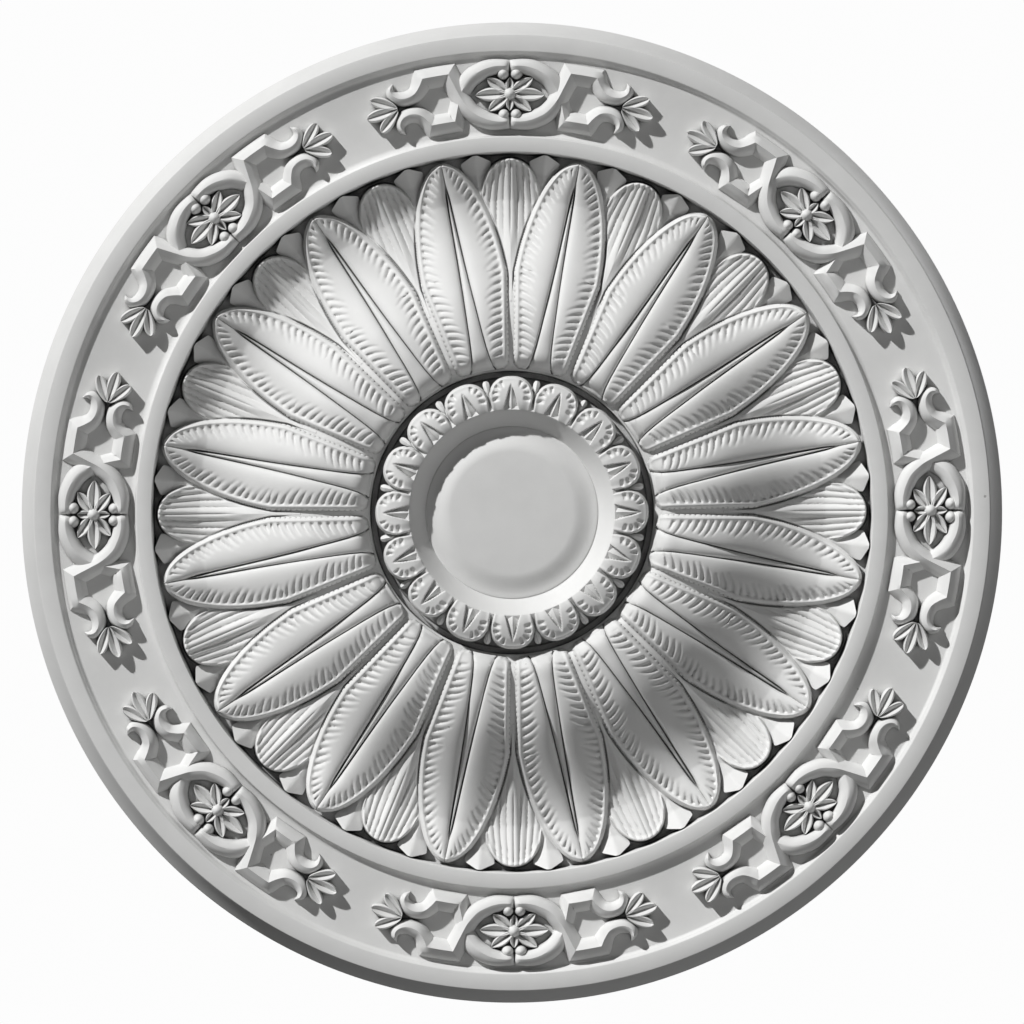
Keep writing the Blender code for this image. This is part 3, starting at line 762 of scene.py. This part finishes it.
under_rows = np.concatenate([
    np.linspace(UNDER_START_RADIUS, UNDER_CENTRE_RADIUS, UNDER_ROWS),
    UNDER_CENTRE_RADIUS + UNDER_REACH * np.sin(np.linspace(0, pi / 2, UNDER_ROWS)[1:]),
])
under_share = np.linspace(-1, 1, UNDER_COLUMNS)
under_share = np.sign(under_share) * (1 - (1 - np.abs(under_share)) ** 1.15)
halves = np.maximum(under_half_width(under_rows), 0.02)[:, None]
under_across = halves * under_share[None, :]
rows = np.repeat(under_rows[:, None], under_across.shape[1], axis=1)
depths = under_depth(rows, under_across, halves)
for k in range(LEAVES):
    axis = 2 * k * SECTOR
    under_sheet = place(axis + under_across / rows, rows, depths)
    make_piece(f"under_leaf_{k + 1:02d}", [under_sheet], face_primer, crease=SOFT)
print("an under-leaf:", under_across.shape, "places")

# %% [markdown]
# Thirty-two small pointed tips fill the gaps between the leaves. Each is a kite with a ridge down
# its middle: narrow where it comes out between two leaves, widest at its shoulders, and pointed
# where it touches the ring. Dark gaps are left beside its shoulders, down to the ground.

# %% Small tips in the gaps
KITE_RADII = (227.5, 232.0, 238.0, 243.0, 247.6, 250.6, 255.0)
KITE_HALVES = (1.2, 3.2, 6.0, 8.6, 10.4, 10.8, 1.6)
KITE_SINK = 1.0
KITE_DROP = 4.4
KITE_DROP_SPAN = 13.0
KITE_RIDGE = 3.6
KITE_RIDGE_HALF = 10.4
KITE_ROWS = 30
KITE_COLUMNS = 13


def kite_sheet(axis):
    radii = np.linspace(KITE_RADII[0], KITE_RADII[-1], KITE_ROWS)[:, None]
    half = np.interp(radii, KITE_RADII, KITE_HALVES)
    share = np.concatenate([[-1.0], np.linspace(-0.999, 0.999, KITE_COLUMNS), [1.0]])[None, :]
    drop = KITE_SINK + KITE_DROP * np.clip((KITE_RADII[-1] - radii) / KITE_DROP_SPAN, 0, 1)
    top = dome(radii) - drop - KITE_RIDGE * np.abs(share) ** 1.1 * half / KITE_RIDGE_HALF
    top = np.maximum(top, WEB_DEPTH + 0.3)
    depth = np.where(np.abs(share) == 1.0, WEB_DEPTH, top)
    return place(axis + share * half / radii, radii, depth)


tips = [kite_sheet((k + 0.5) * SECTOR) for k in range(2 * LEAVES)]
make_piece("small_tips", tips, face_primer, crease=CRISP)
print("small tips:", len(tips), "kites")

# %% [markdown]
# The collar is a ring of small shell-like lobes. Its back is rounded, with the crest near the cup.
# A lobe's sides are straight as far as its centre and then close in a round end. The black line
# outside the collar is a real deep crevice, so it is modelled; the painted shade of narrow gaps
# darkens its bottom as well.

# %% Outline of a lobe
CUP_RADIUS = 73.6
COLLAR_RADIUS = 96.8
COLLAR_CREST_RADIUS = 79.3
COLLAR_DEPTH = 43.8
INNER_FALL = 1.2
OUTER_FALL = 4.2
LOBE_CENTRE_RADIUS = 82.0
LOBE_REACH = COLLAR_RADIUS - LOBE_CENTRE_RADIUS
LOBE_HALF_WIDTH = 16.0
LOBE_ROUNDNESS = 2.45
LOBE_LINE_START = 68.0


def collar_back(radius):
    rise = np.clip((COLLAR_CREST_RADIUS - radius) / (COLLAR_CREST_RADIUS - CUP_RADIUS), 0, 2)
    fall = np.clip((radius - COLLAR_CREST_RADIUS) / (COLLAR_RADIUS - COLLAR_CREST_RADIUS), 0, 1)
    return COLLAR_DEPTH - INNER_FALL * rise**2 - OUTER_FALL * fall**2


def lobe_half_width(radius):
    up = np.clip((radius - LOBE_CENTRE_RADIUS) / LOBE_REACH, 0, 1)
    oval = LOBE_HALF_WIDTH * (1 - up**LOBE_ROUNDNESS) ** (1 / LOBE_ROUNDNESS)
    return np.where(radius < LOBE_CENTRE_RADIUS, LOBE_HALF_WIDTH * radius / LOBE_CENTRE_RADIUS, oval)


lobe_radii = np.concatenate([
    np.linspace(LOBE_LINE_START, LOBE_CENTRE_RADIUS, 150)[:-1],
    LOBE_CENTRE_RADIUS + LOBE_REACH * np.sin(np.linspace(0, pi / 2, 300)),
])
lobe_line = np.stack([lobe_radii, lobe_half_width(lobe_radii)], axis=1)
lobe_line_length = line_ruler(lobe_line)[0][-1]
print("one edge of a lobe is", round(float(lobe_line_length), 1), "mm long")

# %% [markdown]
# Each lobe has a wedge cut into it from the cup's side, with a ridge left standing inside the
# wedge, and a fan of short cuts round its edge.

# %% Depth of a lobe
LOBE_START_RADIUS = 72.3
LOBE_SLOPE = 1.7
LOBE_SLOPE_HEIGHT = 4.6
LOBE_SKIRT = 11.0
START_SKIRT = 3.0
RIM_HEIGHT = 0.15
PUFF_HEIGHT = 0.6
TICK_PITCH = 6.3
TICK_START = 8.5
TICK_DEPTH = 1.5
TICK_OUTER = (1.9, 3.2)
TICK_INNER = (5.0, 8.0)
TICK_RADII = (77.0, 80.5)
WEDGE_TOP_RADIUS = 91.8
WEDGE_DEGREES = 3.9


def lobe_relief(radius, across):
    """Depth of a lobe: sloping sides, a rim, a fan of cuts and a gabled wedge open to the cup."""
    inside, along = inside_line(lobe_line, radius, across)
    slope = LOBE_SLOPE_HEIGHT * np.clip(1 - inside / LOBE_SLOPE, 0, 1) ** 1.3
    slope = slope + LOBE_SKIRT * (inside < AT_EDGE) + START_SKIRT * (radius < LOBE_START_RADIUS + AT_END)
    rim = RIM_HEIGHT * np.exp(-(((inside - LOBE_SLOPE - 0.4) / 0.9) ** 2))
    puff = PUFF_HEIGHT * step(3.0, 8.0, inside)

    to_tip = lobe_line_length - along
    fan = step(0.42, 0.82, (1 + np.cos(2 * pi * (to_tip - TICK_START) / TICK_PITCH)) / 2)
    ticks = TICK_DEPTH * fan * step(*TICK_OUTER, inside) * (1 - step(*TICK_INNER, inside))
    ticks = ticks * step(5.0, 6.2, to_tip) * step(*TICK_RADII, radius)

    opening = radians(WEDGE_DEGREES) * radius
    opening = opening * np.clip((WEDGE_TOP_RADIUS - radius) / (WEDGE_TOP_RADIUS - CUP_RADIUS), 0, 1.2)
    across_wedge = np.abs(across) / np.maximum(opening, 0.05)
    in_wedge = 1 - step(-0.25, 0.35, np.abs(across) - opening)
    in_wedge = in_wedge * step(0.0, 0.5, opening)
    notch = in_wedge * (0.3 + 2.6 * np.clip(across_wedge, 0, 1) ** 0.9 * step(0, 2.5, opening))
    ticks = ticks * (1 - step(-1.2, 0.2, opening - np.abs(across)))
    return collar_back(radius) + rim + puff * (1 - in_wedge) - slope - ticks - notch


# %% [markdown]
# The lobes' outer edges reach into the crevice like a skirt, and so do the edges on the cup's
# side, as far as the rim of the cup's wall.

# %% Sixteen lobes
LOBE_ROWS = 18
LOBE_END_ROWS = 31
LOBE_COLUMNS = 57


def lobe_sheet(axis):
    outward = np.concatenate([
        [LOBE_START_RADIUS],
        np.linspace(LOBE_START_RADIUS + 0.3, LOBE_CENTRE_RADIUS, LOBE_ROWS)[:-1],
        LOBE_CENTRE_RADIUS + LOBE_REACH * np.sin(np.linspace(0, pi / 2, LOBE_END_ROWS)),
    ])[:, None]
    across = np.maximum(lobe_half_width(outward), 0.03) * np.linspace(-1, 1, LOBE_COLUMNS)[None, :]
    radii = np.repeat(outward, across.shape[1], axis=1)
    return place(axis + across / radii, radii, lobe_relief(radii, across))


lobes = [lobe_sheet(2 * k * SECTOR) for k in range(LEAVES)]
collar = make_piece("collar_lobes", lobes, face_primer, crease=SOFT)
print("collar:", len(lobes), "lobes,", len(collar.data.polygons), "faces")

# %% [markdown]
# A small tongue stands in the notch between every two lobes. It is thin near the cup, widens
# towards the crevice, and there it narrows a little and drops in. Its outermost columns make the
# sides.

# %% Tongues between the lobes
TONGUE_RADII = np.array([78.5, 80.0, 82.5, 85.0, 87.5, 90.0, 92.0, 93.6, 94.8, 95.2, 95.6])[:, None]
TONGUE_TOPS = np.array([38.5, 39.1, 39.2, 38.8, 38.0, 37.2, 36.4, 35.6, 34.8, 30.0, 23.0])[:, None]
TONGUE_HALVES = np.array([0.1, 0.3, 0.8, 1.3, 1.8, 2.3, 2.6, 2.3, 1.4, 1.2, 1.2])[:, None]
TONGUE_FOOT = 24.0
TONGUE_ROUNDING = 1.6


def tongue_sheet(axis):
    share = np.array([-1.0, -0.94, -0.5, 0.0, 0.5, 0.94, 1.0])[None, :]
    depth = np.where(np.abs(share) == 1.0, TONGUE_FOOT, TONGUE_TOPS - TONGUE_ROUNDING * np.abs(share))
    return place(axis + share * TONGUE_HALVES / TONGUE_RADII, TONGUE_RADII, depth)


tongues = [tongue_sheet((2 * k + 1) * SECTOR) for k in range(LEAVES)]
make_piece("collar_tongues", tongues, face_primer, crease=CRISP)
print("tongues:", len(tongues))

# %% [markdown]
# The frieze carries eight cartouches. Each is drawn on its own small map: a share along the frieze
# and a share across it. One share across is 25.4 mm, and half a cartouche's stretch of the frieze
# is 4.63 shares along. A map place becomes a bearing and a radius, so the same drawing bends round
# the rose and repeats on both sides of its middle.

# %% The cartouche's map
CARTOUCHES = 8
FRIEZE_MID_RADIUS = 297.5
SHARE = 25.4
SHARES_ALONG = 4.63
SINK_IN = 0.3


def on_frieze(axis, side, along, across, rise):
    along, across, rise = np.broadcast_arrays(along, across, rise)
    bearing = axis + side * along * (pi / CARTOUCHES) / SHARES_ALONG
    return place(bearing, FRIEZE_MID_RADIUS + across * SHARE, FRIEZE_DEPTH + rise)


print("half a cartouche's share of the frieze:", 180 / CARTOUCHES, "degrees")

# %% [markdown]
# The straps are bands with a gabled top. A strap follows a route: it leaves a bead, sweeps round
# the flower, turns two hard corners and ends in a curled horn. Soft stretches are smoothed with a
# curve through the stations, and at a hard corner the two stretches meet in a mitre, as in carved
# strapwork. Each station is a place on the map, the strap's half width there, and 1 at a hard
# corner.

# %% Strap route
STRAP_ROUTE = (
    (0.004, -0.77, 0.20, 0),
    (0.30, -0.78, 0.22, 0),
    (0.52, -0.75, 0.25, 0),
    (0.76, -0.67, 0.265, 0),
    (1.07, -0.49, 0.27, 0),
    (1.32, -0.17, 0.28, 0),
    (1.47, 0.18, 0.28, 0),
    (1.64, 0.665, 0.30, 1),
    (2.34, 0.665, 0.30, 1),
    (2.47, 0.47, 0.26, 0),
    (2.64, 0.30, 0.235, 0),
    (2.88, 0.235, 0.225, 0),
    (3.10, 0.28, 0.21, 0),
    (3.24, 0.42, 0.165, 0),
    (3.25, 0.58, 0.10, 0),
    (3.15, 0.73, 0.01, 0),
)
SMOOTH_STEPS = 6


def smooth_route(route):
    """A curve through the soft stations, straight up to each hard corner."""
    spans = []
    start = 0
    for i, station in enumerate(route):
        if station[3] or i == len(route) - 1:
            spans.append(route[start : i + 1])
            start = i
    out = []
    for span in spans:
        points = [np.array(station[:3]) for station in span]
        padded = [2 * points[0] - points[1], *points, 2 * points[-1] - points[-2]]
        for a, b, c, d in zip(padded, padded[1:], padded[2:], padded[3:]):
            for t in np.linspace(0, 1, SMOOTH_STEPS, endpoint=False):
                bend = 2 * b + (c - a) * t + (2 * a - 5 * b + 4 * c - d) * t * t
                out.append((bend + (3 * b - a - 3 * c + d) * t**3) / 2)
    out.append(np.array(route[-1][:3]))
    return np.array(out)


strap_route = smooth_route(STRAP_ROUTE)
print("a strap's route has", len(strap_route), "stations")

# %% [markdown]
# The strap's two edges are the route moved sideways. Its section is a sharp gable between the hard
# corners and a rounded one elsewhere. It starts blunt at the bead and sinks at the horn's tip. The
# strap from the inner bead passes over its twin, so the twin dips at the crossing.

# %% A strap
STRAP_RISE = 9.5
COLUMNS_ACROSS = 15
CROSSING = 1.42
CROSSING_SPAN = 0.28
DIP_FROM = -0.75
SHARP_FROM = (0.30, 0.40)
SHARP_TO = (0.60, 0.70)
GABLE_SHOULDER = 0.62
ROUNDED_SHARE = 0.65
BLUNT_RUN = 0.040
HORN_RUN = 0.94
HORN_SINK = 0.7


def strap_sheet(axis, side, across_sign, dip):
    middle = strap_route[:, :2]
    ahead = np.diff(middle, axis=0)
    ahead = ahead / np.maximum(np.linalg.norm(ahead, axis=1, keepdims=True), 1e-9)
    entry = np.concatenate([ahead[:1], ahead])
    leave = np.concatenate([ahead, ahead[-1:]])
    mean = entry + leave
    mean = mean / np.linalg.norm(mean, axis=1, keepdims=True)
    mitre = 1 / np.maximum((mean * entry).sum(axis=1), 0.5)
    sideways = np.stack([-mean[:, 1], mean[:, 0]], axis=1) * (strap_route[:, 2] * mitre)[:, None]

    share = np.concatenate([[-1.0], np.linspace(-0.985, 0.985, COLUMNS_ACROSS), [1.0]])
    run = np.linspace(0, 1, len(strap_route))[:, None]
    sharp = step(*SHARP_FROM, run) * (1 - step(*SHARP_TO, run))
    out = np.abs(share[None, :])
    upper = 1 - 0.42 * out / GABLE_SHOULDER
    lower = 0.58 - 0.48 * (out - GABLE_SHOULDER) / (1 - GABLE_SHOULDER)
    gable = np.where(out < GABLE_SHOULDER, upper, lower)
    rounded = 0.12 + 0.88 * np.sqrt(1 - out**2.6)
    soft = ROUNDED_SHARE * rounded + (1 - ROUNDED_SHARE) * gable
    section = sharp * gable + (1 - sharp) * soft
    blunt_end = 0.50 + 0.50 * np.sqrt(1 - (1 - np.clip(run / BLUNT_RUN, 0, 1)) ** 2)
    rise = STRAP_RISE * blunt_end * (1 - HORN_SINK * step(HORN_RUN, 1.0, run)) * section
    crossing = np.exp(-(((middle[:, 0:1] - CROSSING) / CROSSING_SPAN) ** 2))
    rise = rise - dip * crossing * (middle[:, 1:2] > DIP_FROM)
    rise = np.where(out == 1.0, -SINK_IN, rise)
    along = middle[:, 0:1] + sideways[:, 0:1] * share[None, :]
    across = middle[:, 1:2] + sideways[:, 1:2] * share[None, :]
    return on_frieze(axis, side, along, across_sign * across, rise)


# %% [markdown]
# The flower's petals and the palmette's lobes are the same form at different sizes: a pointed
# blade with two raised rims and a sunk middle. The eye of the flower and the beads are half balls.

# %% Blades and beads
BLADE_RIM = 0.62
BLADE_ROWS = 22
BEAD_ROWS = 9
BEAD_COLUMNS = 21


def blade_sheet(axis, side, root, tip, half, rise, sink, shape):
    """A blade from root to tip on the map: raised rims, a sunk middle and an upright edge."""
    root = np.array(root)
    run = np.array(tip) - root
    length = np.linalg.norm(run)
    aside = np.array([-run[1], run[0]]) / length
    t = np.linspace(0, 1, BLADE_ROWS)[:, None]
    width = half * np.sin(pi * t ** shape[0]) ** shape[1] + 0.004
    share = np.concatenate([[-1.0], np.linspace(-0.97, 0.97, COLUMNS_ACROSS), [1.0]])[None, :]
    rim = 1 - sink * np.clip(1 - np.abs(share) / BLADE_RIM, 0, 1) * np.sin(pi * t) ** 0.4
    outer = np.sqrt(np.clip(1 - (np.clip(np.abs(share) - BLADE_RIM, 0, 1) / 0.40) ** 2, 0, 1))
    height = rise * (0.30 + 0.70 * rim * outer) * (1 - 0.12 * t)
    height = np.where(np.abs(share) == 1.0, -SINK_IN, height)
    along = root[0] + run[0] * t + aside[0] * width * share
    across = root[1] + run[1] * t + aside[1] * width * share
    return on_frieze(axis, side, along, across, height)


def bead_sheet(axis, side, along, across, radius, rise):
    fall = np.linspace(0, pi / 2, BEAD_ROWS)[:, None]
    round_it = np.linspace(0, 2 * pi, BEAD_COLUMNS)[None, :]
    reach = radius * np.sin(fall)
    height = rise * np.cos(fall) - SINK_IN * (fall > 1.5)
    return on_frieze(axis, side, along + reach * np.cos(round_it), across + reach * np.sin(round_it), height)


# %% [markdown]
# A cartouche has a flower of eight petals in its middle, two pairs of straps, two pairs of beads
# and a palmette of three lobes at each end. The list gives each petal's tip and half width, and
# each lobe's root, tip and half width.

# %% Eight cartouches
PALMETTE_RISE = 9.2
PETAL_RISE = 6.4
BEAD_RISE = 9.6
BEAD_RADIUS = 0.18
EYE_RISE = 9.0
EYE_RADIUS = 0.20
TWIN_DIP = 2.6
PETALS = ((0.97, 0.0, 0.20), (0.62, 0.46, 0.17), (0.0, 0.46, 0.13), (-0.62, 0.46, 0.17))
PETAL_SHAPE = (1.10, 0.70)
PETAL_SINK = 0.85
LOBES = (
    ((3.20, 0.03), (3.84, 0.47), 0.17),
    ((3.20, 0.00), (4.10, 0.00), 0.18),
    ((3.20, -0.03), (3.84, -0.47), 0.17),
)
LOBE_SHAPE = (1.25, 0.46)
LOBE_SINK = 0.55


def cartouche_sheets(axis):
    sheets = []
    for side in (-1, 1):
        sheets.append(strap_sheet(axis, side, 1, 0.0))
        sheets.append(strap_sheet(axis, side, -1, TWIN_DIP))
        for root, tip, half in LOBES:
            sheets.append(blade_sheet(axis, side, root, tip, half, PALMETTE_RISE, LOBE_SINK, LOBE_SHAPE))
        for across in (0.57, -0.58):
            sheets.append(bead_sheet(axis, side, BEAD_RADIUS, across, BEAD_RADIUS, BEAD_RISE))
    for along, across, half in PETALS:
        for turn in (1, -1):
            tip = (turn * along, turn * across)
            sheets.append(blade_sheet(axis, 1, (0.0, 0.0), tip, half, PETAL_RISE, PETAL_SINK, PETAL_SHAPE))
    sheets.append(bead_sheet(axis, 1, 0.0, 0.0, EYE_RADIUS, EYE_RISE))
    return sheets


for k in range(CARTOUCHES):
    piece = make_piece(f"cartouche_{k + 1}", cartouche_sheets(2 * pi * k / CARTOUCHES), face_primer)
print("a cartouche:", len(piece.data.polygons), "faces")
total = sum(len(p.data.polygons) for p in pieces)
print("pieces:", len(pieces), "with", 2 * total, "triangles")

# %% [markdown]
# The photograph looks straight up at the rose from below, and its outline is a true circle, so the
# camera sits far below the centre with a long lens. The lens is worked out so that the rim fills
# the same share of the picture as in the photograph. The ornament there is turned by 0.3 of a
# degree, so the camera rolls by that much. The camera also stands 0.4 mm off the centre, because
# the rose's centre in the photograph lies about half a pixel off the picture's.

# %% Camera
CAMERA_DROP = 4.2
RIM_SHARE = 490 / 1024
SENSOR_WIDTH = 36.0
PHOTO_TURN = 0.3
CAMERA_SHIFT = -0.0004
camera_data = bpy.data.cameras.new("camera")
camera_data.sensor_width = SENSOR_WIDTH
camera_data.lens = RIM_SHARE * SENSOR_WIDTH * CAMERA_DROP / (RIM_RADIUS * MM)
camera_data.clip_end = 50.0
camera = bpy.data.objects.new("camera", camera_data)
bpy.context.scene.collection.objects.link(camera)
camera.location = (0.0, CAMERA_SHIFT, -CAMERA_DROP)
camera.rotation_euler = (pi, 0.0, radians(PHOTO_TURN))
bpy.context.scene.camera = camera
print("lens:", round(camera_data.lens, 1), "mm")

# %% [markdown]
# The main lamp stands low at the upper left, which draws the relief in long shadows. A weak, very
# soft lamp across from it lifts the sides that face away. One more soft lamp above lights the back
# in the views from behind. A lamp is given by the bearing and the elevation that its light comes
# from, in degrees, and a negative elevation is below the ceiling.

# %% Lamps
def lamp(name, azimuth, elevation, strength, softness):
    data = bpy.data.lights.new(name, "SUN")
    data.energy = strength
    data.angle = radians(softness)
    lamp_object = bpy.data.objects.new(name, data)
    bpy.context.scene.collection.objects.link(lamp_object)
    flat = cos(radians(elevation))
    towards = Vector((sin(radians(azimuth)) * flat, -cos(radians(azimuth)) * flat, sin(radians(elevation))))
    lamp_object.rotation_euler = towards.to_track_quat("Z", "Y").to_euler()
    print("lamp:", name, "strength", strength)


lamp("key", azimuth=320.0, elevation=-27.5, strength=3.55, softness=2.0)
lamp("cross_fill", azimuth=140.0, elevation=-32.0, strength=0.40, softness=50.0)
lamp("back_fill", azimuth=60.0, elevation=55.0, strength=1.9, softness=20.0)

# %% [markdown]
# The surround is white to the camera and gives almost no light, so with the painted shade in them
# the deep gaps stay nearly black.
# The floor is far below, behind the camera, and would show only in a view from steeply above. The
# plain view transform keeps the greys as they are lit.

# %% Surround and floor
SURROUND_STRENGTH = 0.02
FLOOR_DROP = 4.5
FLOOR_REACH = 1.6

world = bpy.data.worlds.new("surround")
world.use_nodes = True
nodes = world.node_tree.nodes
links = world.node_tree.links
fill = nodes["Background"]
fill.inputs["Color"].default_value = (1.0, 1.0, 1.0, 1.0)
fill.inputs["Strength"].default_value = SURROUND_STRENGTH
seen = nodes.new("ShaderNodeBackground")
seen.inputs["Color"].default_value = (0.98, 0.98, 0.98, 1.0)
seen.inputs["Strength"].default_value = 1.0
path = nodes.new("ShaderNodeLightPath")
choose = nodes.new("ShaderNodeMixShader")
links.new(path.outputs["Is Camera Ray"], choose.inputs[0])
links.new(fill.outputs[0], choose.inputs[1])
links.new(seen.outputs[0], choose.inputs[2])
links.new(choose.outputs[0], nodes["World Output"].inputs["Surface"])
bpy.context.scene.world = world
bpy.context.scene.view_settings.view_transform = "Standard"

floor_mesh = bpy.data.meshes.new("floor")
corners = ((-1, -1), (1, -1), (1, 1), (-1, 1))
floor_points = [(FLOOR_REACH * x, FLOOR_REACH * y, -FLOOR_DROP) for x, y in corners]
floor_mesh.from_pydata(floor_points, [], [(0, 1, 2, 3)])
floor_material = bpy.data.materials.new("pale_floor")
floor_material.use_nodes = True
floor_material.node_tree.nodes["Principled BSDF"].inputs["Base Color"].default_value = (0.8, 0.8, 0.8, 1)
floor_mesh.materials.append(floor_material)
floor = bpy.data.objects.new("floor", floor_mesh)
bpy.context.scene.collection.objects.link(floor)
print("the floor is", FLOOR_DROP, "m below the ceiling")
